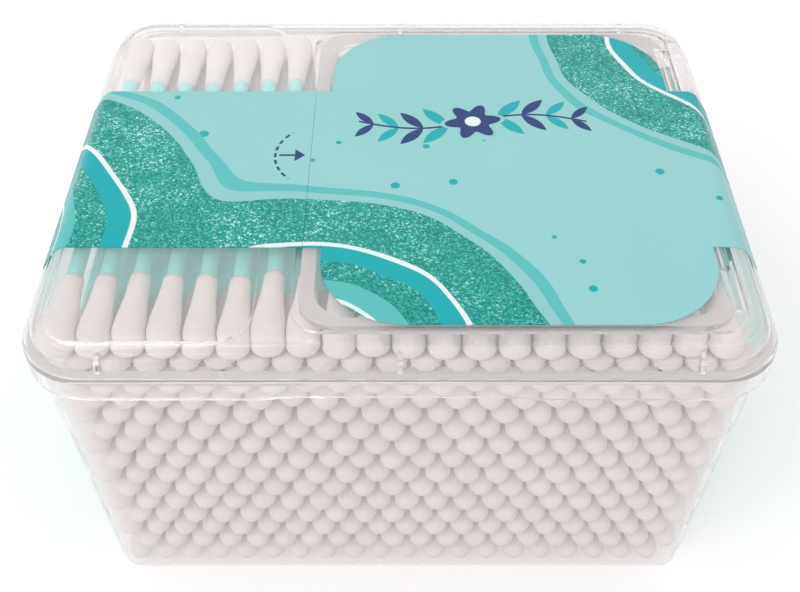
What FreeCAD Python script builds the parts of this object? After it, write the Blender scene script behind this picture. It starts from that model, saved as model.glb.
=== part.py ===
import FreeCAD, Part
import Sketcher
import math
import os

# A box of cotton buds: a clear drafted tub filled with rows of buds, a clear
# lid whose skirt closes over the tub's rim, a hinged flap in the lid and a
# film label over both. Millimetres, +X to the right, +Y to the back, +Z up,
# origin on the table under the middle of the tub.

os.makedirs("parts", exist_ok=True)
doc = FreeCAD.newDocument("cotton_bud_box")

# Driving dimensions
sizes = {
    "budLength": 73.0,       # one bud from tip to tip
    "stickDia": 2.3,         # plastic stick of a bud
    "tipDia": 4.05,          # widest part of a cotton tip
    "tipLength": 13.5,       # cotton tip from its end to its neck
    "tipBarrel": 3.2,        # straight part of a cotton tip behind its dome
    "neckDia": 2.95,         # cotton where it ends on the stick
    "stickDepth": 4.0,       # from the end of the cotton to the end of the stick
    "perRow": 20,            # buds side by side in a row
    "rowCount": 15,          # rows on top of each other
    "tipGap": 0.08,          # between tips of neighbouring rows
    "rowSlack": 0.34,        # between tips of one row, at the floor
    "sideGap": 0.8,          # from the end of a row to the side wall
    "endGap": 0.15,          # from the bud's end to the front and back walls
    "floorGap": 0.1,         # under the lowest row
    "tubWall": 0.75,
    "tubFloor": 0.9,
    "draftAngle": 3.3,       # lean of the tub's walls, degrees
    "footCorner": 3.8,       # corner radius of the tub at the table
    "rimCorner": 8.5,        # corner radius of the tub at its rim
    "footRound": 0.8,        # rounding between the tub's walls and its floor
    "rowOverRim": 0.2,       # axis of the top row above the rim
    "lipOut": 0.3,           # lip around the tub's rim
    "lipTall": 1.0,
    "lidFit": 0.2,           # from the tub's lip to the lid's skirt
    "lidWall": 0.6,
    "skirtDrop": 3.4,        # skirt below the tub's rim
    "shoulderTall": 0.7,     # lid shoulder that sits on the rim
    "shoulderRound": 0.9,
    "capInset": 0.3,         # cap's side walls behind the tub's outer wall
    "capInsetEnds": 1.2,     # the same at the front and back
    "capCorner": 7.0,        # corner radius of the cap, outside
    "capRound": 2.9,         # rounding around the top of the cap
    "capRoundInside": 1.5,   # the same inside
    "headroom": 0.3,         # from the top row to the lid's ledge
    "ledgeThick": 0.7,       # ledge that carries the flap
    "plateThick": 0.9,       # flap, and the lid's plate beside it
    "flapLeft": 13.6,        # free edge of the flap, left of the middle
    "flapCorner": 5.0,
    "recessCorner": 4.2,     # small enough for the corners of the flap when it swings
    "recessShift": 0.8,      # middle of the flap and its recess in front of the lid's
    "moatWide": 0.9,         # groove round the flap
    "slotRun": 1.3,          # hinge slot past the straight part of the flap's edge
    "moatAtHinge": 1.3,      # from the hinge axis to the recess wall
    "ledgeWide": 2.0,        # flap's support on the ledge
    "rimFlat": 0.4,          # flat from the cap's rounding to the recess, at the sides
    "rimFlatEnds": 1.0,      # the same at the front and back
    "notchReach": 3.0,       # thumb notch beyond the recess
    "notchHalf": 5.4,        # half width of the thumb notch
    "knuckleDia": 1.5,
    "knuckleReach": 24.0,    # outer end of the flap's knuckles
    "midKnuckle": 7.7,       # half length of the lid's knuckle
    "knuckleGap": 0.3,
    "pinDia": 0.8,
    "pinLong": 3.0,
    "pinFit": 0.05,          # radial play of the pin in the flap
    "gripHalf": 14.0,        # half width of the raised skirt at front and back
    "gripRise": 0.5,
    "gripSlant": 4.5,
    "ribWide": 0.7,
    "ribDeep": 1.2,          # ribs out from the cap's wall
    "ribTall": 1.3,          # upright edge of a rib above the shoulder
    "ribUnder": 0.5,         # from the lid's top to the head of a rib
    "ribSpread": 39.0,       # outer ribs from the middle
    "filmThick": 0.12,
    "filmHalf": 18.5,        # half width of the label's strip
    "filmShift": 1.9,        # middle of the strip in front of the lid's middle
    "filmPanelLeft": 11.0,   # label's wide part, left of the middle
    "filmCorner": 12.0,
    "filmMargin": 0.2,       # flap's edge beyond the label
    "filmSeam": 0.05,        # between the label's parts where the flap ends
    "filmDrop": 3.2,         # label on the side of the skirt
}


def fillSheet(name, values):
    # A sheet with a name and a plain number in each row
    sheet = doc.addObject("Spreadsheet::Sheet", name)
    for row, (alias, number) in enumerate(values.items(), 1):
        sheet.set("A%d" % row, alias)
        sheet.set("B%d" % row, repr(number))
        sheet.setAlias("B%d" % row, alias)
    doc.recompute()
    return sheet


sizeSheet = fillSheet("Sizes", sizes)


def size(alias):
    return float(sizeSheet.get(alias))


# Rows of buds: each row nests in the one below, and grows with the tub
slope = math.tan(math.radians(size("draftAngle")))
perRow = int(size("perRow"))
rowCount = int(size("rowCount"))
tipRadius = size("tipDia") / 2
floorPitch = size("tipDia") + size("rowSlack")
floorRowHalf = (perRow + 0.5) * floorPitch / 2
nestDistance = size("tipDia") + size("tipGap")

rows = []
rowHeight = size("tubFloor") + size("floorGap") + tipRadius
for index in range(rowCount):
    rowHalf = floorRowHalf + rowHeight * slope
    pitch = 2 * rowHalf / (perRow + 0.5)
    shift = pitch / 2 if index % 2 else 0.0
    rows.append({"height": rowHeight, "first": -rowHalf + pitch / 2 + shift, "pitch": pitch})
    growth = nestDistance * slope
    rowHeight += math.sqrt(nestDistance ** 2 - (pitch / 2 - growth) ** 2)

# Sizes worked out from the driving ones
rimHeight = rows[-1]["height"] - size("rowOverRim")
footX = floorRowHalf + size("sideGap") + size("tubWall")
footY = size("budLength") / 2 + size("endGap") + size("tubWall")
rimX = footX + rimHeight * slope
rimY = footY + rimHeight * slope
floorLean = size("tubFloor") * slope
skirtInnerX = rimX + size("lipOut") + size("lidFit")
skirtInnerY = rimY + size("lipOut") + size("lidFit")
capX = rimX - size("capInset")
capY = rimY - size("capInsetEnds")
ledgeUnder = rows[-1]["height"] + tipRadius + size("headroom")
plateUnder = ledgeUnder + size("ledgeThick")
lidTop = plateUnder + size("plateThick")
recessRight = capX - size("capRound") - size("rimFlat")
hingeX = recessRight - size("moatAtHinge")
hingeHeight = lidTop - size("knuckleDia") / 2
recessLeft = size("flapLeft") + size("moatWide")
recessY = capY - size("capRound") - size("rimFlatEnds")
flapY = recessY - size("moatWide")
notchRadius = (size("notchHalf") ** 2 + size("notchReach") ** 2) / (2 * size("notchReach"))

layout = {
    "rimHeight": rimHeight,
    "footX": footX,
    "footY": footY,
    "rimX": rimX,
    "rimY": rimY,
    "cavityFootX": footX - size("tubWall") + floorLean,
    "cavityFootY": footY - size("tubWall") + floorLean,
    "lipHeight": rimHeight - size("lipTall"),
    "skirtUnder": rimHeight - size("skirtDrop"),
    "shoulderTop": rimHeight + size("shoulderTall"),
    "skirtInnerX": skirtInnerX,
    "skirtInnerY": skirtInnerY,
    "capX": capX,
    "capY": capY,
    "ledgeUnder": ledgeUnder,
    "plateUnder": plateUnder,
    "lidTop": lidTop,
    "recessLeft": recessLeft,
    "recessRight": recessRight,
    "recessY": recessY,
    "flapY": flapY,
    "hingeX": hingeX,
    "hingeHeight": hingeHeight,
    "notchRadius": notchRadius,
    "notchCentre": recessLeft + size("notchReach") - notchRadius,
    "swingGap": size("knuckleDia") / 2 + size("knuckleGap"),
    "filmPanelY": flapY - size("filmMargin"),
    "filmRight": hingeX - size("knuckleDia") / 2 - size("knuckleGap"),
}
layoutSheet = fillSheet("Layout", layout)


def number(expression):
    # The value of an expression on the two sheets
    return float(sizeSheet.evalExpression(expression))


# Helpers for sketches and features
def addBody(label):
    body = doc.addObject("PartDesign::Body", label)
    body.Label = label
    return body


def addSketch(body, name, role, offset="0"):
    sketch = body.newObject("Sketcher::SketchObject", name)
    plane = [item for item in body.Origin.OriginFeatures if item.Role == role][0]
    sketch.AttachmentSupport = [(plane, "")]
    sketch.MapMode = "FlatFace"
    sketch.setExpression("AttachmentOffset.Base.z", offset)
    return sketch


def bind(sketch, kind, places, expression):
    # A dimension of the sketch that follows an expression
    index = sketch.addConstraint(Sketcher.Constraint(kind, *places, number(expression)))
    name = "d%d" % index
    sketch.renameConstraint(index, name)
    sketch.setExpression("Constraints." + name, expression)


def roundedRect(sketch, left, right, half, corner, shift):
    # Four lines and four equal arcs, left and right measured from the origin;
    # the middle of its depth lies in front of the origin by the shift
    front = "%s + %s" % (half, shift)
    back = "%s - %s" % (half, shift)
    x0, x1, r = -number(left), number(right), number(corner)
    y0, y1 = -number(front), number(back)
    up = FreeCAD.Vector(0, 0, 1)

    def line(ax, ay, bx, by):
        sketch.addGeometry(Part.LineSegment(FreeCAD.Vector(ax, ay, 0), FreeCAD.Vector(bx, by, 0)))

    def arc(cx, cy, quarter):
        circle = Part.Circle(FreeCAD.Vector(cx, cy, 0), up, r)
        start = math.radians(90 * quarter)
        sketch.addGeometry(Part.ArcOfCircle(circle, start, start + math.pi / 2))

    line(x0 + r, y0, x1 - r, y0)
    arc(x1 - r, y0 + r, 3)
    line(x1, y0 + r, x1, y1 - r)
    arc(x1 - r, y1 - r, 0)
    line(x1 - r, y1, x0 + r, y1)
    arc(x0 + r, y1 - r, 1)
    line(x0, y1 - r, x0, y0 + r)
    arc(x0 + r, y0 + r, 2)
    for index in range(8):
        sketch.addConstraint(Sketcher.Constraint("Tangent", index, 2, (index + 1) % 8, 1))
    for index in (0, 4):
        sketch.addConstraint(Sketcher.Constraint("Horizontal", index))
    for index in (2, 6):
        sketch.addConstraint(Sketcher.Constraint("Vertical", index))
    for index in (3, 5, 7):
        sketch.addConstraint(Sketcher.Constraint("Equal", 1, index))
    bind(sketch, "DistanceX", (6, 1, -1, 1), left)
    bind(sketch, "DistanceX", (-1, 1, 2, 1), right)
    bind(sketch, "DistanceY", (0, 1, -1, 1), front)
    bind(sketch, "DistanceY", (-1, 1, 4, 1), back)
    bind(sketch, "Radius", (1,), corner)


def outline(sketch, points):
    # A closed run of straight lines through points given as two expressions
    # each; a coordinate is bound on the side of the origin where it lies
    first = sketch.GeometryCount
    values = [(number(px), number(py)) for px, py in points]
    count = len(points)
    for index in range(count):
        start = FreeCAD.Vector(*values[index], 0)
        end = FreeCAD.Vector(*values[(index + 1) % count], 0)
        sketch.addGeometry(Part.LineSegment(start, end))
    for index in range(count):
        sketch.addConstraint(Sketcher.Constraint("Coincident", first + index, 2,
                                                 first + (index + 1) % count, 1))
    for index, (px, py) in enumerate(points):
        for kind, expression, value in (("DistanceX", px, values[index][0]),
                                        ("DistanceY", py, values[index][1])):
            if value < 0:
                bind(sketch, kind, (first + index, 1, -1, 1), "-(%s)" % expression)
            else:
                bind(sketch, kind, (-1, 1, first + index, 1), expression)


def circleSketch(sketch, cx, cy, radius):
    centre = FreeCAD.Vector(number(cx), number(cy), 0)
    sketch.addGeometry(Part.Circle(centre, FreeCAD.Vector(0, 0, 1), number(radius)))
    for kind, expression in (("DistanceX", cx), ("DistanceY", cy)):
        if number(expression) < 0:
            bind(sketch, kind, (0, 3, -1, 1), "-(%s)" % expression)
        else:
            bind(sketch, kind, (-1, 1, 0, 3), expression)
    bind(sketch, "Radius", (0,), radius)


def slabSketch(body, name, height, left, right, half, corner, shift="0"):
    sketch = addSketch(body, name, "XY_Plane", height)
    roundedRect(sketch, left, right, half, corner, shift)
    return sketch


def pad(body, name, sketch, length, midplane=False):
    feature = body.newObject("PartDesign::Pad", name)
    feature.Profile = sketch
    feature.setExpression("Length", length)
    feature.Midplane = midplane
    doc.recompute()
    return feature


def pocket(body, name, sketch, length, midplane=False, upward=False):
    before = body.Shape.Volume
    feature = body.newObject("PartDesign::Pocket", name)
    feature.Profile = sketch
    feature.setExpression("Length", length)
    feature.Midplane = midplane
    feature.Reversed = upward
    doc.recompute()
    if body.Shape.Volume > before - 1e-6:
        raise RuntimeError("pocket cuts nothing: " + name)
    return feature


def edgeNames(shape, wanted):
    return ["Edge%d" % (index + 1) for index, edge in enumerate(shape.Edges) if wanted(edge.BoundBox)]


def fillet(body, name, wanted, radius):
    base = body.Tip
    feature = body.newObject("PartDesign::Fillet", name)
    feature.Base = (base, edgeNames(base.Shape, wanted))
    feature.setExpression("Radius", radius)
    doc.recompute()
    return feature


def flatAt(box, height, half=0.0):
    # An edge that lies level at a height and reaches out to a half width
    return (abs(box.ZMin - height) < 1e-4 and abs(box.ZMax - height) < 1e-4
            and max(abs(box.XMin), abs(box.XMax)) >= half)


# Tub: drafted walls, a floor and a lip around the rim, in one moulding
def makeTub():
    body = addBody("tub")
    # The foot is rounded in three steps: level, at 45 degrees and upright
    bend = 1 - math.sqrt(0.5)
    outlines = []
    for name, lift, inset in (("foot", 0.0, 1.0), ("bend", bend, bend), ("heel", 1.0, 0.0)):
        lean = "Sizes.footRound * %.6f * tan(Sizes.draftAngle)" % lift
        inward = "Sizes.footRound * %.6f" % inset
        outlines.append(slabSketch(
            body, "tub_" + name, "Sizes.footRound * %.6f" % lift,
            "Layout.footX + %s - %s" % (lean, inward), "Layout.footX + %s - %s" % (lean, inward),
            "Layout.footY + %s - %s" % (lean, inward), "Sizes.footCorner - " + inward))
    outlines.append(slabSketch(body, "tub_rim", "Layout.rimHeight", "Layout.rimX", "Layout.rimX",
                               "Layout.rimY", "Sizes.rimCorner"))
    walls = body.newObject("PartDesign::AdditiveLoft", "tub_walls")
    walls.Profile = outlines[0]
    walls.Sections = outlines[1:]
    walls.Ruled = True
    doc.recompute()
    lip = slabSketch(body, "tub_lip_outline", "Layout.lipHeight", "Layout.rimX + Sizes.lipOut",
                     "Layout.rimX + Sizes.lipOut", "Layout.rimY + Sizes.lipOut",
                     "Sizes.rimCorner + Sizes.lipOut")
    pad(body, "tub_lip", lip, "Sizes.lipTall")
    inFoot = slabSketch(body, "tub_cavity_foot", "Sizes.tubFloor", "Layout.cavityFootX",
                        "Layout.cavityFootX", "Layout.cavityFootY",
                        "Sizes.footCorner - Sizes.tubWall")
    inRim = slabSketch(body, "tub_cavity_rim", "Layout.rimHeight", "Layout.rimX - Sizes.tubWall",
                       "Layout.rimX - Sizes.tubWall", "Layout.rimY - Sizes.tubWall",
                       "Sizes.rimCorner - Sizes.tubWall")
    before = body.Shape.Volume
    cavity = body.newObject("PartDesign::SubtractiveLoft", "tub_cavity")
    cavity.Profile = inFoot
    cavity.Sections = [inRim]
    cavity.Ruled = True
    doc.recompute()
    if body.Shape.Volume > before / 2:
        raise RuntimeError("the tub is not hollow")
    return body


# Lid frame: cap, shoulder and skirt, the flap's recess, window and hinge
def makeLidFrame():
    body = addBody("lid_frame")
    skirt = slabSketch(body, "skirt_outline", "Layout.skirtUnder",
                       "Layout.skirtInnerX + Sizes.lidWall", "Layout.skirtInnerX + Sizes.lidWall",
                       "Layout.skirtInnerY + Sizes.lidWall",
                       "Sizes.rimCorner + Sizes.lipOut + Sizes.lidFit + Sizes.lidWall")
    pad(body, "skirt", skirt, "Layout.shoulderTop - Layout.skirtUnder")
    shoulderTop = number("Layout.shoulderTop")
    fillet(body, "shoulder_round", lambda box: flatAt(box, shoulderTop), "Sizes.shoulderRound")
    cap = slabSketch(body, "cap_outline", "Layout.rimHeight", "Layout.capX", "Layout.capX",
                     "Layout.capY", "Sizes.capCorner")
    pad(body, "cap", cap, "Layout.lidTop - Layout.rimHeight")
    fillet(body, "cap_round", lambda box: flatAt(box, lidTop), "Sizes.capRound")
    mouth = slabSketch(body, "skirt_inside", "Layout.skirtUnder", "Layout.skirtInnerX",
                       "Layout.skirtInnerX", "Layout.skirtInnerY",
                       "Sizes.rimCorner + Sizes.lipOut + Sizes.lidFit")
    pocket(body, "skirt_mouth", mouth, "Sizes.skirtDrop", upward=True)
    inside = slabSketch(body, "cap_inside", "Layout.rimHeight", "Layout.capX - Sizes.lidWall",
                        "Layout.capX - Sizes.lidWall", "Layout.capY - Sizes.lidWall",
                        "Sizes.capCorner - Sizes.lidWall")
    pocket(body, "cap_hollow", inside, "Layout.ledgeUnder - Layout.rimHeight", upward=True)
    fillet(body, "cap_inside_round", lambda box: flatAt(box, ledgeUnder), "Sizes.capRoundInside")
    roundedIn = "(Sizes.lidWall + Sizes.capRoundInside)"
    thin = slabSketch(body, "left_ceiling", "Layout.ledgeUnder", "Layout.capX - " + roundedIn,
                      "-(Layout.recessLeft + Sizes.notchReach + Sizes.ledgeWide)",
                      "Layout.capY - " + roundedIn, "Sizes.capCorner - " + roundedIn)
    pocket(body, "left_hollow", thin, "Sizes.ledgeThick", upward=True)
    recess = slabSketch(body, "recess_outline", "Layout.lidTop", "Layout.recessLeft",
                        "Layout.recessRight", "Layout.recessY", "Sizes.recessCorner",
                        "Sizes.recessShift")
    pocket(body, "recess", recess, "Sizes.plateThick")
    notch = addSketch(body, "thumb_notch_outline", "XY_Plane", "Layout.lidTop")
    circleSketch(notch, "-Layout.notchCentre", "-Sizes.recessShift", "Layout.notchRadius")
    pocket(body, "thumb_notch", notch, "Sizes.plateThick")
    window = slabSketch(body, "window_outline", "Layout.lidTop", "Sizes.flapLeft - Sizes.ledgeWide",
                        "Layout.hingeX - Sizes.ledgeWide", "Layout.flapY - Sizes.ledgeWide",
                        "Sizes.flapCorner", "Sizes.recessShift")
    pocket(body, "window", window, "Layout.lidTop - Layout.ledgeUnder")
    slotHalf = "Layout.flapY - Sizes.flapCorner + Sizes.slotRun"
    slot = addSketch(body, "hinge_slot_outline", "XY_Plane", "Layout.lidTop")
    slotFront = "-(%s + Sizes.recessShift)" % slotHalf
    slotBack = "%s - Sizes.recessShift" % slotHalf
    outline(slot, [("Layout.hingeX - Layout.swingGap", slotFront),
                   ("Layout.recessRight", slotFront), ("Layout.recessRight", slotBack),
                   ("Layout.hingeX - Layout.swingGap", slotBack)])
    pocket(body, "hinge_slot", slot, "Layout.lidTop - Layout.ledgeUnder")
    knuckle = addSketch(body, "mid_knuckle_outline", "XZ_Plane")
    circleSketch(knuckle, "Layout.hingeX", "Layout.hingeHeight", "Sizes.knuckleDia / 2")
    pad(body, "mid_knuckle", knuckle, "2 * Sizes.midKnuckle", midplane=True)
    web = addSketch(body, "mid_web_outline", "XY_Plane", "Layout.lidTop - Sizes.knuckleDia")
    outline(web, [("Layout.hingeX", "-Sizes.midKnuckle"),
                  ("Layout.recessRight + Sizes.ledgeThick", "-Sizes.midKnuckle"),
                  ("Layout.recessRight + Sizes.ledgeThick", "Sizes.midKnuckle"),
                  ("Layout.hingeX", "Sizes.midKnuckle")])
    pad(body, "mid_web", web, "Sizes.knuckleDia")
    pin = addSketch(body, "hinge_pin_outline", "XZ_Plane")
    circleSketch(pin, "Layout.hingeX", "Layout.hingeHeight", "Sizes.pinDia / 2")
    pad(body, "hinge_pins", pin, "2 * (Sizes.midKnuckle + Sizes.pinLong)", midplane=True)
    for name, middle in (("left", "-Sizes.ribSpread"), ("mid", "0"), ("right", "Sizes.ribSpread")):
        addRibs(body, name, middle)
    grip = addSketch(body, "grip_outline", "XZ_Plane")
    low = "Layout.skirtUnder - Sizes.gripRise"
    high = "Layout.skirtUnder + Sizes.gripRise"
    outline(grip, [("-(Sizes.gripHalf + 2 * Sizes.gripSlant)", low),
                   ("Sizes.gripHalf + 2 * Sizes.gripSlant", low),
                   ("Sizes.gripHalf", high), ("-Sizes.gripHalf", high)])
    pocket(body, "grip", grip, "4 * Layout.skirtInnerY", midplane=True)
    return body


def addRibs(body, name, middle):
    # An upright rib at the front and one at the back, on the shoulder, that
    # slant in over the cap's rounding
    sketch = addSketch(body, "rib_outline_" + name, "YZ_Plane", middle)
    root = "Layout.capY - Sizes.lidWall * 3 / 4"
    out = "Layout.capY + Sizes.ribDeep"
    head = "Layout.capY - Sizes.capRound / 2"
    base = "Layout.shoulderTop - Sizes.shoulderTall / 2"
    for sign in ("", "-"):
        outline(sketch, [(sign + "(%s)" % root, base), (sign + "(%s)" % out, base),
                         (sign + "(%s)" % out, "Layout.shoulderTop + Sizes.ribTall"),
                         (sign + "(%s)" % head, "Layout.lidTop - Sizes.ribUnder"),
                         (sign + "(%s)" % root, "Layout.shoulderTop + Sizes.ribTall")])
    pad(body, "ribs_" + name, sketch, "Sizes.ribWide", midplane=True)


# Flap: a plate that lies on the ledge, with two knuckles on the hinge axis
def makeFlap():
    body = addBody("flap")
    plate = slabSketch(body, "flap_outline", "Layout.plateUnder", "Sizes.flapLeft",
                       "Layout.hingeX", "Layout.flapY", "Sizes.flapCorner",
                       "Sizes.recessShift")
    pad(body, "flap_plate", plate, "Sizes.plateThick")
    barrel = addSketch(body, "flap_knuckle_outline", "XZ_Plane")
    circleSketch(barrel, "Layout.hingeX", "Layout.hingeHeight", "Sizes.knuckleDia / 2")
    pad(body, "flap_knuckles", barrel, "2 * Sizes.knuckleReach", midplane=True)
    gap = addSketch(body, "flap_gap_outline", "XY_Plane", "Layout.lidTop + Sizes.knuckleGap")
    half = "(Sizes.midKnuckle + Sizes.knuckleGap)"
    outline(gap, [("Layout.hingeX - Layout.swingGap", "-" + half),
                  ("Layout.hingeX + Layout.swingGap", "-" + half),
                  ("Layout.hingeX + Layout.swingGap", half),
                  ("Layout.hingeX - Layout.swingGap", half)])
    pocket(body, "flap_gap", gap, "Sizes.knuckleDia + 2 * Sizes.knuckleGap")
    bore = addSketch(body, "flap_bore_outline", "XZ_Plane")
    circleSketch(bore, "Layout.hingeX", "Layout.hingeHeight", "Sizes.pinDia / 2 + Sizes.pinFit")
    pocket(body, "flap_bores", bore, "2 * (Sizes.midKnuckle + Sizes.pinLong + Sizes.knuckleGap)",
           midplane=True)
    return body


# Label: a wide panel with a strip on the flap, and a strip over each side
def makeLabelPanel():
    body = addBody("label_panel")
    wide = slabSketch(body, "panel_outline", "Layout.lidTop", "Sizes.filmPanelLeft",
                      "Layout.filmRight", "Layout.filmPanelY", "Sizes.filmCorner",
                      "Sizes.recessShift")
    pad(body, "panel_film", wide, "Sizes.filmThick")
    strip = addSketch(body, "strip_outline", "XY_Plane", "Layout.lidTop")
    front = "-(Sizes.filmHalf + Sizes.filmShift)"
    back = "Sizes.filmHalf - Sizes.filmShift"
    outline(strip, [("-Sizes.flapLeft", front), ("Layout.filmRight", front),
                    ("Layout.filmRight", back), ("-Sizes.flapLeft", back)])
    pad(body, "strip_film", strip, "Sizes.filmThick")
    return body


def makeLabelSide(label, side, start):
    # Film from a start on the lid's top, round the cap's edge and straight to
    # the rounded shoulder, then down the skirt; side is -1 left, 1 right
    film = size("filmThick")
    capRadius = size("capRound")
    shoulderRadius = size("shoulderRound")
    capCentre = (capX - capRadius, lidTop - capRadius)
    shoulderCentre = (skirtInnerX + size("lidWall") - shoulderRadius,
                      rimHeight + size("shoulderTall") - shoulderRadius)
    run = shoulderCentre[0] - capCentre[0]
    drop = shoulderCentre[1] - capCentre[1]
    lean = math.atan2(drop, run) + math.acos((capRadius - shoulderRadius) / math.hypot(run, drop))
    endZ = rimHeight + size("shoulderTall") - size("filmDrop")

    def at(x, z):
        return FreeCAD.Vector(side * x, -size("filmHalf") - size("filmShift"), z)

    def onRound(centre, radius, angle):
        return at(centre[0] + radius * math.cos(angle), centre[1] + radius * math.sin(angle))

    def faceAt(extra):
        # One face of the film from the start to its end, extra outside the lid
        cap = capRadius + extra
        shoulder = shoulderRadius + extra
        half = (lean + math.pi / 2) / 2
        top = [at(start, lidTop + extra), onRound(capCentre, cap, math.pi / 2)]
        low = onRound(shoulderCentre, shoulder, 0)
        return [
            Part.LineSegment(*top),
            Part.Arc(top[1], onRound(capCentre, cap, half), onRound(capCentre, cap, lean)),
            Part.LineSegment(onRound(capCentre, cap, lean), onRound(shoulderCentre, shoulder, lean)),
            Part.Arc(onRound(shoulderCentre, shoulder, lean),
                     onRound(shoulderCentre, shoulder, lean / 2), low),
            Part.LineSegment(low, FreeCAD.Vector(low.x, low.y, endZ)),
        ]

    inner = faceAt(0.0)
    outer = faceAt(film)
    ends = [Part.LineSegment(inner[-1].EndPoint, outer[-1].EndPoint),
            Part.LineSegment(outer[0].StartPoint, inner[0].StartPoint)]
    edges = [edge.toShape() for edge in inner + outer + ends]
    face = Part.Face(Part.Wire(Part.__sortEdges__(edges)))
    feature = doc.addObject("Part::Feature", label)
    feature.Label = label
    feature.Shape = face.extrude(FreeCAD.Vector(0, 2 * size("filmHalf"), 0))
    return feature


# Cotton tip: dome, short barrel and taper to the neck, with a bore for the
# stick; its end is at the origin and it runs along +Y
def makeTipPattern():
    body = addBody("tip_pattern")
    sketch = addSketch(body, "tip_profile", "XY_Plane")
    big = "Sizes.tipDia / 2"
    points = [("0", big), (big, big), (big, "%s + Sizes.tipBarrel" % big),
              ("Sizes.neckDia / 2", "Sizes.tipLength"), ("Sizes.stickDia / 2", "Sizes.tipLength"),
              ("Sizes.stickDia / 2", "Sizes.stickDepth"), ("0", "Sizes.stickDepth")]
    values = [FreeCAD.Vector(number(px), number(py), 0) for px, py in points]
    radius = number(big)
    dome = Part.Circle(values[0], FreeCAD.Vector(0, 0, 1), radius)
    sketch.addGeometry(Part.ArcOfCircle(dome, -math.pi / 2, 0.0))
    for start, end in zip(values[1:-1], values[2:]):
        sketch.addGeometry(Part.LineSegment(start, end))
    sketch.addGeometry(Part.LineSegment(values[-1], FreeCAD.Vector(0, 0, 0)))
    last = sketch.GeometryCount - 1
    sketch.addConstraint(Sketcher.Constraint("Coincident", 0, 1, -1, 1))
    sketch.addConstraint(Sketcher.Constraint("Tangent", 0, 2, 1, 1))
    for index in range(1, last):
        sketch.addConstraint(Sketcher.Constraint("Coincident", index, 2, index + 1, 1))
    sketch.addConstraint(Sketcher.Constraint("Coincident", last, 2, -1, 1))
    sketch.addConstraint(Sketcher.Constraint("PointOnObject", 0, 3, -2))
    sketch.addConstraint(Sketcher.Constraint("PointOnObject", last, 1, -2))
    sketch.addConstraint(Sketcher.Constraint("Vertical", 1))
    sketch.addConstraint(Sketcher.Constraint("Horizontal", 3))
    sketch.addConstraint(Sketcher.Constraint("Vertical", 4))
    sketch.addConstraint(Sketcher.Constraint("Horizontal", 5))
    bind(sketch, "Radius", (0,), big)
    bind(sketch, "DistanceY", (-1, 1, 1, 2), "%s + Sizes.tipBarrel" % big)
    bind(sketch, "DistanceX", (-1, 1, 3, 1), "Sizes.neckDia / 2")
    bind(sketch, "DistanceY", (-1, 1, 3, 1), "Sizes.tipLength")
    bind(sketch, "DistanceX", (-1, 1, 4, 1), "Sizes.stickDia / 2")
    bind(sketch, "DistanceY", (-1, 1, 5, 1), "Sizes.stickDepth")
    turn = body.newObject("PartDesign::Revolution", "tip_turn")
    turn.Profile = sketch
    turn.ReferenceAxis = (sketch, ["V_Axis"])
    turn.Angle = 360.0
    doc.recompute()
    return body


# Stick: a plain rod along +Y, as long as the bud less the cotton over its ends
def makeStickPattern():
    stick = doc.addObject("Part::Cylinder", "stick_pattern")
    stick.Label = "stick_pattern"
    stick.setExpression("Radius", "Sizes.stickDia / 2")
    stick.setExpression("Height", "Sizes.budLength - 2 * Sizes.stickDepth")
    stick.Placement = FreeCAD.Placement(FreeCAD.Vector(0, 0, 0),
                                        FreeCAD.Rotation(FreeCAD.Vector(1, 0, 0), -90))
    doc.recompute()
    return stick


def makeRow(label, pattern, row, startY, turned):
    # Copies of a pattern side by side, turned to face the back if asked
    spin = FreeCAD.Rotation(FreeCAD.Vector(0, 0, 1), 180 if turned else 0)
    copies = []
    for index in range(perRow):
        place = FreeCAD.Vector(row["first"] + index * row["pitch"], startY, 0)
        copy = pattern.Shape.copy()
        copy.Placement = FreeCAD.Placement(place, spin).multiply(pattern.Shape.Placement)
        copies.append(copy)
    feature = doc.addObject("Part::Feature", label)
    feature.Label = label
    feature.Shape = Part.makeCompound(copies)
    feature.Placement = FreeCAD.Placement(FreeCAD.Vector(0, 0, row["height"]),
                                          FreeCAD.Rotation())
    return feature


tip = makeTipPattern()
stick = makeStickPattern()
kept = [makeTub(), makeLidFrame(), makeFlap(), makeLabelPanel()]
kept.append(makeLabelSide("label_left", -1, size("flapLeft") + size("filmSeam")))
kept.append(makeLabelSide("label_right", 1, recessRight + size("filmSeam")))
budEnd = size("budLength") / 2
for index, row in enumerate(rows, 1):
    kept.append(makeRow("sticks_%02d" % index, stick, row, -budEnd + size("stickDepth"), False))
    kept.append(makeRow("front_tips_%02d" % index, tip, row, -budEnd, False))
    kept.append(makeRow("back_tips_%02d" % index, tip, row, budEnd, True))
doc.recompute()

for item in doc.Objects:
    if "Invalid" in item.State or "Error" in item.State:
        raise RuntimeError("%s is %s" % (item.Name, item.State))
for item in kept:
    if item.Shape.isNull() or not item.Shape.isValid():
        raise RuntimeError("bad shape: " + item.Label)
for item in kept:
    item.Shape.exportStep("parts/%s.step" % item.Label)

print("rim %.2f  lid top %.2f  hinge x %.3f z %.3f" % (rimHeight, lidTop, hingeX, hingeHeight))
print("foot %.2f x %.2f  rim %.2f x %.2f" % (2 * footX, 2 * footY, 2 * rimX, 2 * rimY))
for item in kept[:9]:
    box = item.Shape.BoundBox
    print("%-14s solids %3d volume %9.2f  x %.2f..%.2f y %.2f..%.2f z %.2f..%.2f" % (
        item.Label, len(item.Shape.Solids), item.Shape.Volume, box.XMin, box.XMax,
        box.YMin, box.YMax, box.ZMin, box.ZMax))
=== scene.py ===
import math
import random

import bpy
from mathutils import Matrix, Vector


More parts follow.
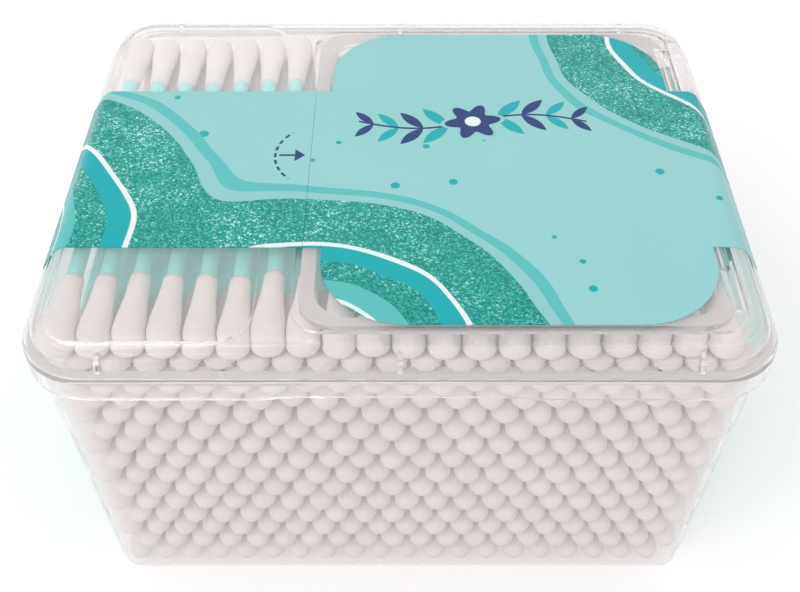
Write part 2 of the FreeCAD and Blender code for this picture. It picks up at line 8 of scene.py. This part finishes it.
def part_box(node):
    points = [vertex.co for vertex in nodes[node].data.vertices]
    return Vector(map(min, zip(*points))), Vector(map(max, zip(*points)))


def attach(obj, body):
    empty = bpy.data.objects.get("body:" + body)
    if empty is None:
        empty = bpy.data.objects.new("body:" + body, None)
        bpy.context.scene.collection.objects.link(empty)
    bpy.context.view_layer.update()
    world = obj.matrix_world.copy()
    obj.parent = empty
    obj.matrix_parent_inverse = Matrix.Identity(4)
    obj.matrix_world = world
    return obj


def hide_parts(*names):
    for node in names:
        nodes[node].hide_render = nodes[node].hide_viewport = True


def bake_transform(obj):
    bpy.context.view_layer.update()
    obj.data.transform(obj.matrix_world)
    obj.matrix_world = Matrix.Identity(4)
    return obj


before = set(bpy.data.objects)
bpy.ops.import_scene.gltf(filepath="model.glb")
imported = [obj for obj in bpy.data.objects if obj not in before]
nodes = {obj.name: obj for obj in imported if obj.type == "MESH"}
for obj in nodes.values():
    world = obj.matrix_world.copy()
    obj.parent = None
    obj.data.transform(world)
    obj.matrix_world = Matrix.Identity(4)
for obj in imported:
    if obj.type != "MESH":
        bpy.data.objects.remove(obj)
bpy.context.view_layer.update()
mm = 0.001
rowNames = sorted(name[-2:] for name in nodes if name.startswith("sticks_"))


def selectNone():
    for thing in bpy.context.selected_objects:
        thing.select_set(False)


def selectOnly(*things):
    selectNone()
    for thing in things:
        thing.select_set(True)
    bpy.context.view_layer.objects.active = things[0]


def pickVertices(piece, test):
    # edit mode, with only the vertices that pass the test selected
    selectOnly(piece)
    bpy.ops.object.mode_set(mode="EDIT")
    bpy.ops.mesh.select_mode(type="VERT")
    bpy.ops.mesh.select_all(action="DESELECT")
    bpy.ops.object.mode_set(mode="OBJECT")
    for vertex in piece.data.vertices:
        vertex.select = test(vertex.co)
    bpy.ops.object.mode_set(mode="EDIT")


def freeze(piece, body, finish):
    # place into the mesh, one material, riding on its body
    selectOnly(piece)
    bpy.ops.object.transform_apply(location=True, rotation=True, scale=True)
    piece.data.materials.clear()
    piece.data.materials.append(finish)
    if body:
        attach(piece, body)


# camera and studio
studio = {
    "cameraPlace": (0.0, -0.12986, 0.16068),
    "cameraPitch": 45.94,      # degrees below level
    "lens": 48.5,              # mm on a 36 mm sensor
    "floorSize": 9.0,
    "floorColour": (0.80, 0.80, 0.80),
    "floorRough": 0.9,
    "floorLift": 0.30,         # light that only the eye sees, so the floor reads as white
    "farLift": 0.18,           # more of it far from the box, up to the horizon
    "farFrom": 0.2,            # metres from the box where that starts
    "farReach": 2.0,           # metres over which it grows
    "worldLight": 0.72,
}
lamps = [
    # name, place, aimed at, width, depth, watts
    ("keySoftbox", (-0.45, -0.50, 0.70), (0.0, 0.0, 0.03), 0.60, 0.60, 2.9),
    ("fillSoftbox", (0.55, -0.75, 0.35), (0.0, 0.0, 0.03), 0.50, 0.50, 0.25),
    ("backStrip", (0.10, 0.70, 0.60), (0.0, 0.0, 0.05), 0.80, 0.20, 0.5),
]


class Wire:
    # one output socket; maths on it adds Math nodes
    def __init__(self, finish, socket):
        self.finish = finish
        self.socket = socket

    def math(self, operation, *values, clamp=False):
        settings = {"operation": operation, "use_clamp": clamp}
        return self.finish.node("ShaderNodeMath", settings, dict(enumerate(values)))

    def __add__(self, other):
        return self.math("ADD", self, other)

    def __radd__(self, other):
        return self.math("ADD", other, self)

    def __sub__(self, other):
        return self.math("SUBTRACT", self, other)

    def __rsub__(self, other):
        return self.math("SUBTRACT", other, self)

    def __mul__(self, other):
        return self.math("MULTIPLY", self, other)

    def __rmul__(self, other):
        return self.math("MULTIPLY", other, self)

    def __truediv__(self, other):
        return self.math("DIVIDE", self, other)

    def __rtruediv__(self, other):
        return self.math("DIVIDE", other, self)

    def __pow__(self, other):
        return self.math("POWER", self, other)

    def __mod__(self, other):
        return self.math("FLOORED_MODULO", self, other)

    def __abs__(self):
        return self.math("ABSOLUTE", self)

    def sine(self):
        return self.math("SINE", self)

    def least(self, other):
        return self.math("MINIMUM", self, other)

    def most(self, other):
        return self.math("MAXIMUM", self, other)

    def below(self, limit, soft=0.0):
        # 1 where the value is under the limit, with an edge as wide as soft
        if not soft:
            return self.math("LESS_THAN", self, limit)
        return self.math("MULTIPLY_ADD", self - limit, -1.0 / soft, 0.5, clamp=True)


class Finish:
    # one node tree: a material's or the world's
    def __init__(self, name, owner=None):
        self.owner = owner or bpy.data.materials.new(name)
        self.owner.use_nodes = True
        self.tree = self.owner.node_tree
        self.tree.nodes.clear()

    def node(self, kind, settings=None, sockets=None, out=0):
        made = self.tree.nodes.new(kind)
        for key, value in (settings or {}).items():
            if key == "stops":
                self.setStops(made.color_ramp, value)
            else:
                setattr(made, key, value)
        for key, value in (sockets or {}).items():
            if isinstance(value, Wire):
                self.tree.links.new(value.socket, made.inputs[key])
            else:
                made.inputs[key].default_value = value
        return Wire(self, made.outputs[out]) if made.outputs else None

    def setStops(self, ramp, stops):
        while len(ramp.elements) > 1:
            ramp.elements.remove(ramp.elements[-1])
        for index, (place, colour) in enumerate(stops):
            stop = ramp.elements.new(place) if index else ramp.elements[0]
            stop.position = place
            stop.color = (*colour, 1.0)

    def place(self):
        # object coordinates in metres, which are the same as the CAD's
        return self.node("ShaderNodeTexCoord", out="Object")

    def scaled(self, vector, scale, location=(0.0, 0.0, 0.0), turn=(0.0, 0.0, 0.0)):
        sockets = {"Vector": vector, "Scale": scale, "Location": location, "Rotation": turn}
        return self.node("ShaderNodeMapping", None, sockets)

    def split(self, vector):
        parts = self.node("ShaderNodeSeparateXYZ", None, {0: vector})
        return [Wire(self, socket) for socket in parts.socket.node.outputs]

    def noise(self, vector, scale, detail=2.0, rough=0.5):
        sockets = {"Vector": vector, "Scale": scale, "Detail": detail, "Roughness": rough}
        return self.node("ShaderNodeTexNoise", None, sockets)

    def ramp(self, value, stops, interpolation="LINEAR"):
        made = self.node("ShaderNodeValToRGB", {"stops": stops}, {0: value})
        made.socket.node.color_ramp.interpolation = interpolation
        return made

    def over(self, base, colour, mask):
        # colour laid over base where mask is 1
        settings = {"data_type": "RGBA"}
        return self.node("ShaderNodeMix", settings, {0: mask, 6: base, 7: colour}, out=2)

    def bump(self, height, strength, distance, normal=None):
        sockets = {"Height": height, "Strength": strength, "Distance": distance}
        if normal:
            sockets["Normal"] = normal
        return self.node("ShaderNodeBump", None, sockets)

    def surface(self, shader):
        self.node("ShaderNodeOutputMaterial", None, {"Surface": shader})
        return self.owner

    def principled(self, **sockets):
        named = {key.replace("_", " "): value for key, value in sockets.items()}
        return self.node("ShaderNodeBsdfPrincipled", None, named)

    def seen(self):
        # 1 for what the eye sees, also in gloss and through glass
        rays = self.node("ShaderNodeLightPath").socket.node.outputs
        found = Wire(self, rays["Is Camera Ray"])
        found = found.most(Wire(self, rays["Is Glossy Ray"]))
        return found.most(Wire(self, rays["Is Transmission Ray"]))


def linear(red, green, blue):
    # a colour as it is written on screen, 0 to 255, in the shader's own scale
    values = []
    for value in (red, green, blue):
        share = value / 255
        values.append(share / 12.92 if share <= 0.04045 else ((share + 0.055) / 1.055) ** 2.4)
    return tuple(values)


def solid(red, green, blue):
    return (*linear(red, green, blue), 1.0)


def makeStudio():
    scene = bpy.context.scene
    scene.view_settings.view_transform = "Standard"
    pitch = math.radians(90.0 - studio["cameraPitch"])
    bpy.ops.object.camera_add(location=studio["cameraPlace"], rotation=(pitch, 0.0, 0.0))
    camera = bpy.context.object
    camera.data.lens = studio["lens"]
    camera.data.sensor_width = 36.0
    camera.data.clip_start = 0.01
    scene.camera = camera
    for name, place, aim, width, depth, watts in lamps:
        turn = (Vector(aim) - Vector(place)).to_track_quat("-Z", "Y").to_euler()
        bpy.ops.object.light_add(type="AREA", location=place, rotation=turn)
        lamp = bpy.context.object
        lamp.name = name
        lamp.data.shape = "RECTANGLE"
        lamp.data.size = width
        lamp.data.size_y = depth
        lamp.data.energy = watts
    selectNone()
    bpy.ops.mesh.primitive_plane_add(size=studio["floorSize"])
    floor = bpy.context.object
    floor.name = "floor"
    paint = Finish("floor_paint")
    paint.owner.cycles.emission_sampling = "NONE"
    x, y, z = paint.split(paint.place())
    away = (x * x + y * y) ** 0.5
    far = ((away - studio["farFrom"]) * (1.0 / studio["farReach"])).most(0.0).least(1.0)
    lift = paint.seen() * (far * studio["farLift"] + studio["floorLift"])
    glow = paint.node("ShaderNodeCombineColor", None, {0: lift, 1: lift, 2: lift})
    floor.data.materials.append(paint.surface(paint.principled(
        Base_Color=(*studio["floorColour"], 1.0), Roughness=studio["floorRough"],
        Specular_IOR_Level=0.1, Emission_Color=glow, Emission_Strength=1.0)))
    world = bpy.data.worlds.new("studio_air")
    scene.world = world
    air = Finish("studio_air", world)
    white = (1.0, 1.0, 1.0, 1.0)
    light = air.node("ShaderNodeBackground", None, {0: white, 1: studio["worldLight"]})
    backdrop = air.node("ShaderNodeBackground", None, {0: white, 1: 1.0})
    both = air.node("ShaderNodeMixShader", None, {0: air.seen(), 1: light, 2: backdrop})
    air.node("ShaderNodeOutputWorld", None, {"Surface": both})
    print("studio ready")


# clear plastic of the tub, the lid and the flap
plastic = {
    "tint": (0.955, 0.937, 0.933, 1.0),
    "veil": 0.13,              # share of light that the plastic scatters
    "smooth": 0.04,            # roughness where the surface is clean
    "scuffed": 0.14,           # and where it is scuffed
    "scuffScale": (900.0, 160.0, 400.0),
    "scuffLimit": 0.36,        # more of it gives more scuffs
    "index": 1.46,
    "clear": (0.985, 0.983, 0.982, 1.0),    # what the lamps' light keeps at each face
    "waveScale": (60.0, 60.0, 90.0),
    "wave": 0.00012,           # metres, height of the moulding's slow waves
}


def makePlastic():
    clear = Finish("clear_plastic")
    place = clear.place()
    waves = clear.noise(clear.scaled(place, plastic["waveScale"]), 1.0, 1.0)
    scuffs = clear.noise(clear.scaled(place, plastic["scuffScale"]), 1.0, 3.0, 0.6)
    scuffed = scuffs.below(plastic["scuffLimit"], 0.12)
    rough = plastic["smooth"] + scuffed * (plastic["scuffed"] - plastic["smooth"])
    glass = clear.principled(
        Base_Color=plastic["tint"], Roughness=rough, IOR=plastic["index"],
        Transmission_Weight=1.0 - plastic["veil"],
        Normal=clear.bump(waves, 0.5, plastic["wave"]))
    rays = clear.node("ShaderNodeLightPath").socket.node.outputs
    lampRays = Wire(clear, rays["Is Shadow Ray"]).most(Wire(clear, rays["Is Diffuse Ray"]))
    through = clear.node("ShaderNodeBsdfTransparent", None, {0: plastic["clear"]})
    both = clear.node("ShaderNodeMixShader", None, {0: lampRays, 1: glass, 2: through})
    return clear.surface(both)


# printed film
film = {
    "ground": (146, 209, 208),
    "groundPale": (158, 216, 214),
    "flatTeal": (0, 176, 182),
    "softTeal": (92, 196, 192),
    "navy": (27, 58, 120),
    "white": (240, 250, 250),
    "edge": 0.10,              # mm over which one ink turns into the next
    # ripples: centre x and y in mm, size of the outermost ring
    "ripples": [(-12.0, -43.0, 38.0), (58.0, 32.0, 37.0), (-64.0, -18.0, 42.0)],
    "rippleJoin": 0.34,
    "rippleSway": 5.0,         # mm by which the rings wander
    # rings from the outermost inwards: where each ends, and what it is filled with
    "rings": [
        (0.94, "softTeal"), (0.90, "ground"), (0.86, "glitter"), (0.62, "white"), (0.60, "flatTeal"),
        (0.52, "glitter"), (0.42, "softTeal"), (0.34, "white"), (0.325, "glitter")],
    "flakes": 4200.0,          # glitter flakes in a metre
    "bubbles": 230.0,          # cells in a metre, each with a bubble or none
    "sprig": (11.5, 8.5, 18.0),     # centre x and y, half length
    "sprigSway": 1.8,
    "stemHalf": 0.22,
    "leafPairs": 4,            # on each side of the blossom
    "leafLength": 3.3,
    "leafAngle": 48,
    "petal": (3.6, 0.9),       # middle radius and how much it comes and goes
    "arrow": (-11.44, 0.0, 7.6),    # centre of the press mark's arc and its radius
    "rough": 0.42,
    "glitterGloss": 0.16,      # how much smoother the brightest flakes are
}


def glitter(paint, place):
    # fine flakes, each of its own shade
    sockets = {"Vector": place, "Scale": film["flakes"]}
    flakes = paint.node("ShaderNodeTexVoronoi", None, sockets, out="Color")
    shade = paint.split(flakes)[0]
    clouds = paint.noise(place, 130.0, 3.0, 0.6)
    mixed = shade * 0.75 + clouds * 0.5 - 0.12
    stops = [
        (0.0, linear(6, 112, 108)), (0.35, linear(12, 146, 134)), (0.62, linear(28, 168, 154)),
        (0.80, linear(72, 196, 184)), (0.93, linear(196, 244, 236)), (1.0, linear(232, 255, 250))]
    return paint.ramp(mixed, stops), shade


def leaf(paint, x, y, centre, angle, length, width):
    # signed distance, roughly in mm, to a leaf's outline
    turn = math.radians(angle)
    along = (x - centre[0]) * math.cos(turn) + (y - centre[1]) * math.sin(turn)
    across = (y - centre[1]) * math.cos(turn) - (x - centre[0]) * math.sin(turn)
    share = along / length
    half = (1.0 - share * share) * width
    return abs(across) - half


def makeFilm():
    paint = Finish("printed_film")
    place = paint.place()
    x, y, z = paint.split(place)
    x, y, z = x * 1000.0, y * 1000.0, z * 1000.0
    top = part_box("label_panel")[1].z / mm
    drop = (top - z).most(0.0)
    side = x.math("SIGN", x)
    x = x + side * drop                     # the print runs on down the sides
    soft = film["edge"]
    clouds = paint.noise(paint.scaled(place, (40.0, 40.0, 40.0)), 1.0, 2.0)
    colour = paint.over(solid(*film["ground"]), solid(*film["groundPale"]), clouds)
    sparkle, shade = glitter(paint, place)
    bend = paint.noise(paint.scaled(place, (55.0, 55.0, 55.0), (3.0, 1.0, 0.0)), 1.0, 1.0) - 0.5
    nearest = None
    bright = None
    for centreX, centreY, reach in film["ripples"]:
        away = ((x - centreX) ** 2.0 + (y - centreY) ** 2.0) ** 0.5
        share = (away + bend * film["rippleSway"]) / reach
        if nearest:
            share = share.math("SMOOTH_MIN", nearest, share, film["rippleJoin"])
        nearest = share
    for end, filling in film["rings"]:
        mask = nearest.below(end, soft / 36.0)
        if filling == "glitter":
            colour = paint.over(colour, sparkle, mask)
            bright = bright.most(mask) if bright else mask
        else:
            colour = paint.over(colour, solid(*film[filling]), mask)
            bright = bright * (1.0 - mask) if bright else None
    # bubbles round the ripples
    sockets = {"Vector": place, "Scale": film["bubbles"]}
    cells = paint.node("ShaderNodeTexVoronoi", None, sockets)
    away = cells * (1000.0 / film["bubbles"])
    sizes = paint.split(Wire(paint, cells.socket.node.outputs["Color"]))
    size = (sizes[0] * 1.5 - 0.55).most(0.0)
    nearRipple = nearest.below(1.32, 0.25)
    largeEnough = size.math("GREATER_THAN", size, 0.08)
    outside = nearest.math("GREATER_THAN", nearest, film["rings"][0][0])
    bubbles = (away - size * nearRipple).below(0.0, soft) * largeEnough
    colour = paint.over(colour, solid(*film["flatTeal"]), bubbles * outside)
    # a sprig of leaves with a blossom in its middle
    centreX, centreY, half = film["sprig"]
    sway = film["sprigSway"]
    pairs = film["leafPairs"]
    stemY = centreY + ((x - centreX) * (math.pi / half)).sine() * sway
    sprig = (abs(y - stemY) - film["stemHalf"]).most(abs(x - centreX) - half)
    tealLeaves = None
    for index in range(-pairs, pairs + 1):
        if not index:
            continue
        atX = centreX + index * half / (pairs + 0.6)
        atY = centreY + math.sin((atX - centreX) * math.pi / half) * sway
        long = film["leafLength"] - 0.28 * abs(index)
        for lift in (-1, 1):
            angle = lift * film["leafAngle"]
            if index < 0:
                angle = 180 - angle
            turn = math.radians(angle)
            middle = (atX + math.cos(turn) * long * 0.98, atY + math.sin(turn) * long * 0.98)
            shape = leaf(paint, x, y, middle, angle, long, long * 0.33)
            if (index + lift) % 2:
                sprig = sprig.least(shape)
            else:
                tealLeaves = tealLeaves.least(shape) if tealLeaves else shape
    colour = paint.over(colour, solid(*film["flatTeal"]), tealLeaves.below(0.0, soft))
    colour = paint.over(colour, solid(*film["navy"]), sprig.below(0.0, soft))
    dx, dy = x - centreX, y - centreY
    away = (dx * dx + dy * dy) ** 0.5
    turn = dy.math("ARCTAN2", dy, dx)
    middle, swing = film["petal"]
    petals = away - (middle + (turn * 6.0 + 0.6).sine() * swing)
    colour = paint.over(colour, solid(*film["ground"]), (petals - 0.7).below(0.0, soft))
    colour = paint.over(colour, solid(*film["navy"]), petals.below(0.0, soft))
    colour = paint.over(colour, solid(*film["white"]), away.below(1.25, soft))
    # dashed arc and arrow that show where to press
    arcX, arcY, radius = film["arrow"]
    dx, dy = x - arcX, y - arcY
    away = (dx * dx + dy * dy) ** 0.5
    turn = dy.math("ARCTAN2", dy, dx * -1.0)
    line = abs(away - radius) - 0.2
    dashes = abs((turn * 4.6 + 0.5) % 1.0 - 0.5) - 0.30
    arc = line.most(dashes * 1.2).most(abs(turn) - 0.80)
    shaft = (abs(dy) - film["stemHalf"]).most(abs(dx + radius - 2.0) - 1.4)
    head = (abs(dy) * 1.1 + (dx + radius - 4.6)).most((dx + radius - 3.0) * -1.0)
    mark = arc.least(shaft).least(head)
    colour = paint.over(colour, solid(*film["navy"]), mark.below(0.0, soft))
    waves = paint.noise(paint.scaled(place, (70.0, 70.0, 70.0)), 1.0, 1.0)
    rough = film["rough"] - bright * shade * film["glitterGloss"]
    return paint.surface(paint.principled(
        Base_Color=colour, Roughness=rough, Specular_IOR_Level=0.22, Coat_Weight=0.08,
        Coat_Roughness=0.2, Normal=paint.bump(waves, 0.35, 0.0002)))


# cotton
cotton = {
    "colour": (238, 229, 226),
    "shade": (225, 214, 211),
    # distance from the outer end and radius, in mm, at each ring of a tip
    "fine": [(0.0, 0.75), (0.32, 1.28), (1.0, 1.77), (2.1, 2.02), (3.5, 2.06), (5.0, 1.98),
             (6.8, 1.78), (8.9, 1.55), (11.0, 1.41), (12.6, 1.35), (13.35, 1.29)],
    "plain": [(0.06, 0.95), (1.0, 1.72), (3.0, 2.03), (6.2, 1.88), (10.2, 1.47), (13.3, 1.30)],
    "fineSides": 18,
    "plainSides": 10,
    "perRow": 20,
    "apart": (0.03, 0.22),     # least and most left between neighbours in a row
    "flatten": 0.035,          # share by which a tip is lower than its solid
    "lean": 0.20,              # mm, most that a tip leans
    "swell": 0.022,            # share that its slow swellings take off
    "turnScale": (500.0, 2600.0, 500.0),
    "tuftScale": (900.0, 700.0, 900.0),
    "blotchScale": (210.0, 210.0, 210.0),
    "slide": 0.7,              # most that a tip lies in or out along its bud, in the top row
    "kinds": 4,
    "fineRows": 2,             # rows from the top that are seen from near
}


def makeCotton():
    wool = Finish("wound_cotton")
    place = wool.place()
    wound = wool.scaled(place, cotton["turnScale"], turn=(0.0, 0.0, 0.18))
    turns = wool.noise(wound, 1.0, 3.0, 0.6)
    tufts = wool.noise(wool.scaled(place, cotton["tuftScale"]), 1.0, 2.0, 0.55)
    blotches = wool.noise(wool.scaled(place, cotton["blotchScale"]), 1.0, 1.0)
    mixed = tufts * 0.45 + turns * 0.4 + (blotches - 0.5) * 1.1 + 0.1
    colour = wool.over(solid(*cotton["shade"]), solid(*cotton["colour"]), mixed)
    normal = wool.bump(tufts, 0.55, 0.00035, wool.bump(turns, 0.5, 0.00012))
    return wool.surface(wool.principled(
        Base_Color=colour, Roughness=0.95, Specular_IOR_Level=0.15, Sheen_Weight=0.25,
        Sheen_Roughness=0.6, Normal=normal))


def modelTip(name, profile, sides, seed):
    # one wound tip along y, its outer end at the origin
    selectNone()
    chance = random.Random(seed)
    first = profile[0]
    bpy.ops.mesh.primitive_circle_add(
        vertices=sides, radius=first[1] * mm, fill_type="TRIFAN",
        location=(0.0, first[0] * mm, 0.0), rotation=(math.radians(90.0), 0.0, 0.0))
    tip = bpy.context.object
    tip.name = name
    bpy.ops.object.transform_apply(location=True, rotation=True, scale=True)
    middle = min(tip.data.vertices, key=lambda vertex: abs(vertex.co.x) + abs(vertex.co.z))
    middle.co.y = 0.0
    pickVertices(tip, lambda place: abs(place.x) + abs(place.z) > first[1] * mm * 0.5)
    before = first
    for ring in profile[1:]:
        bpy.ops.mesh.extrude_region_move(
            TRANSFORM_OT_translate={"value": (0.0, (ring[0] - before[0]) * mm, 0.0)})
        size = ring[1] / before[1]
        bpy.ops.transform.resize(value=(size, 1.0, size), center_override=(0.0, 0.0, 0.0))
        before = ring
    bpy.ops.mesh.edge_face_add()
    bpy.ops.mesh.select_all(action="SELECT")
    bpy.ops.mesh.remove_doubles(threshold=0.00001)
    bpy.ops.mesh.normals_make_consistent(inside=False)
    bpy.ops.object.mode_set(mode="OBJECT")
    # hand-wound look: a lean and slow swellings
    lean = chance.uniform(-cotton["lean"], cotton["lean"])
    phase = chance.uniform(0.0, math.tau)
    for vertex in tip.data.vertices:
        share = vertex.co.y / (profile[-1][0] * mm)
        turn = math.atan2(vertex.co.z, vertex.co.x)
        swell = 1.0 - cotton["swell"] * (1.0 + math.sin(2.0 * turn + phase + 5.0 * share))
        vertex.co.x *= swell
        vertex.co.z *= swell
        vertex.co.x += lean * mm * math.sin(math.pi * min(share, 1.0)) * (1.0 - share)
    bpy.ops.object.shade_smooth()
    return tip


def placeTip(kind, place, wide, deep, flat, turn, roll):
    # a copy of one kind of tip, sized, turned and put in its place in its own mesh
    copy = kind.copy()
    copy.data = kind.data.copy()
    bpy.context.scene.collection.objects.link(copy)
    size = Matrix.Diagonal((wide, deep, flat, 1.0))
    turned = Matrix.Rotation(turn, 4, "Z") @ Matrix.Rotation(roll, 4, "Y")
    copy.data.transform(Matrix.Translation(place) @ size @ turned)
    return copy


def makeTips(finish):
    chance = random.Random(300)
    kinds = {}
    perRow = cotton["perRow"]
    for density in ("fine", "plain"):
        for kind in range(cotton["kinds"]):
            name = "%s_tip_%d" % (density, kind)
            kinds[density, kind] = modelTip(name, cotton[density], cotton[density + "Sides"], kind)
    for row in rowNames:
        density = "fine" if row in rowNames[-cotton["fineRows"]:] else "plain"
        for end, sign in (("front", 1.0), ("back", -1.0)):
            node = "%s_tips_%s" % (end, row)
            low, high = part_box(node)
            radius = (high.z - low.z) / 2
            height = (high.z + low.z) / 2
            pitch = (high.x - low.x - 2 * radius) / (perRow - 1)
            outer = low.y if sign > 0 else high.y
            copies = []
            most = cotton["slide"] * mm * int(row) / len(rowNames)
            for index in range(perRow):
                kind = kinds[density, chance.randrange(cotton["kinds"])]
                wide = (pitch - chance.uniform(*cotton["apart"]) * mm) / (2 * radius)
                flat = 1.0 - cotton["flatten"] - chance.uniform(0.0, 0.01)
                roll = chance.uniform(0.0, math.tau)
                deep = chance.uniform(0.985, 1.0)
                slide = sign * chance.uniform(-0.3, 1.0) * most
                at = Vector((low.x + radius + index * pitch, outer + slide, height))
                turn = math.pi if sign < 0 else 0.0
                copies.append(placeTip(kind, at, wide, deep, flat, turn, roll))
            selectOnly(*copies)
            bpy.ops.object.join()
            tips = bpy.context.object
            tips.name = "%s_cotton_%s" % (end, row)
            freeze(tips, "tub", finish)
            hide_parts(node)
    for kind in kinds.values():
        bpy.data.objects.remove(kind)
    print("cotton tips ready:", 2 * perRow * len(rowNames))


# mint sticks
stick = {
    "colour": (136, 231, 224),
    "deep": (46, 202, 194),
    "glow": (24, 186, 180),    # painted glow that lifts the sticks' shade, in place of the light that the thin tubes pass on to each other
    "paintedGlowShare": 0.14,
    "streakScale": (2200.0, 40.0, 2200.0),
    "rough": 0.34,
}


def makeStickPlastic():
    mint = Finish("mint_plastic")
    mint.owner.cycles.emission_sampling = "NONE"
    place = mint.place()
    streaks = mint.noise(mint.scaled(place, stick["streakScale"]), 1.0, 2.0)
    colour = mint.over(solid(*stick["deep"]), solid(*stick["colour"]), streaks * 0.7 + 0.3)
    return mint.surface(mint.principled(
        Base_Color=colour, Roughness=stick["rough"] + streaks * 0.1,
        # painted glow: the sticks give off a little teal light of their own, which lifts their shade
        # in the gaps
        Emission_Color=solid(*stick["glow"]), Emission_Strength=stick["paintedGlowShare"],
        Normal=mint.bump(streaks, 0.2, 0.00005)))


# strip of film over the hinge
strip = {
    "cuts": 13,
    "bulge": 0.05,             # mm that its middle stands up
}


def makeStrip(finish):
    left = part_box("label_panel")[1]
    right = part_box("label_right")
    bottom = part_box("flap")[1].z
    half = (right[1].y - right[0].y) / 2
    width = right[0].x - left.x
    thick = left.z - bottom
    selectNone()
    middle = (left.x + width / 2, (right[0].y + right[1].y) / 2, bottom + thick / 2)
    bpy.ops.mesh.primitive_cube_add(size=1.0, location=middle)
    piece = bpy.context.object
    piece.name = "label_hinge_strip"
    piece.scale = (width, 2 * half, thick)
    bpy.ops.object.transform_apply(location=True, rotation=True, scale=True)
    bpy.ops.object.mode_set(mode="EDIT")
    for cut in range(1, strip["cuts"] + 1):
        at = left.x + width * cut / (strip["cuts"] + 1)
        bpy.ops.mesh.select_all(action="SELECT")
        bpy.ops.mesh.bisect(plane_co=(at, 0.0, 0.0), plane_no=(1.0, 0.0, 0.0))
    bpy.ops.object.mode_set(mode="OBJECT")
    for vertex in piece.data.vertices:
        share = (vertex.co.x - left.x) / width
        vertex.co.z += strip["bulge"] * mm * math.sin(math.pi * min(max(share, 0.0), 1.0))
    freeze(piece, None, finish)
    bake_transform(piece)
    print("hinge strip ready")


makeStudio()
clearPlastic = makePlastic()
printedFilm = makeFilm()
woundCotton = makeCotton()
mintPlastic = makeStickPlastic()
for name, node in nodes.items():
    if name in ("tub", "lid_frame", "flap"):
        finish = clearPlastic
    elif name.startswith("label_"):
        finish = printedFilm
    elif name.startswith("sticks_"):
        finish = mintPlastic
    else:
        continue
    node.data.materials.clear()
    node.data.materials.append(finish)
print("packed pieces painted")
makeTips(woundCotton)
makeStrip(printedFilm)
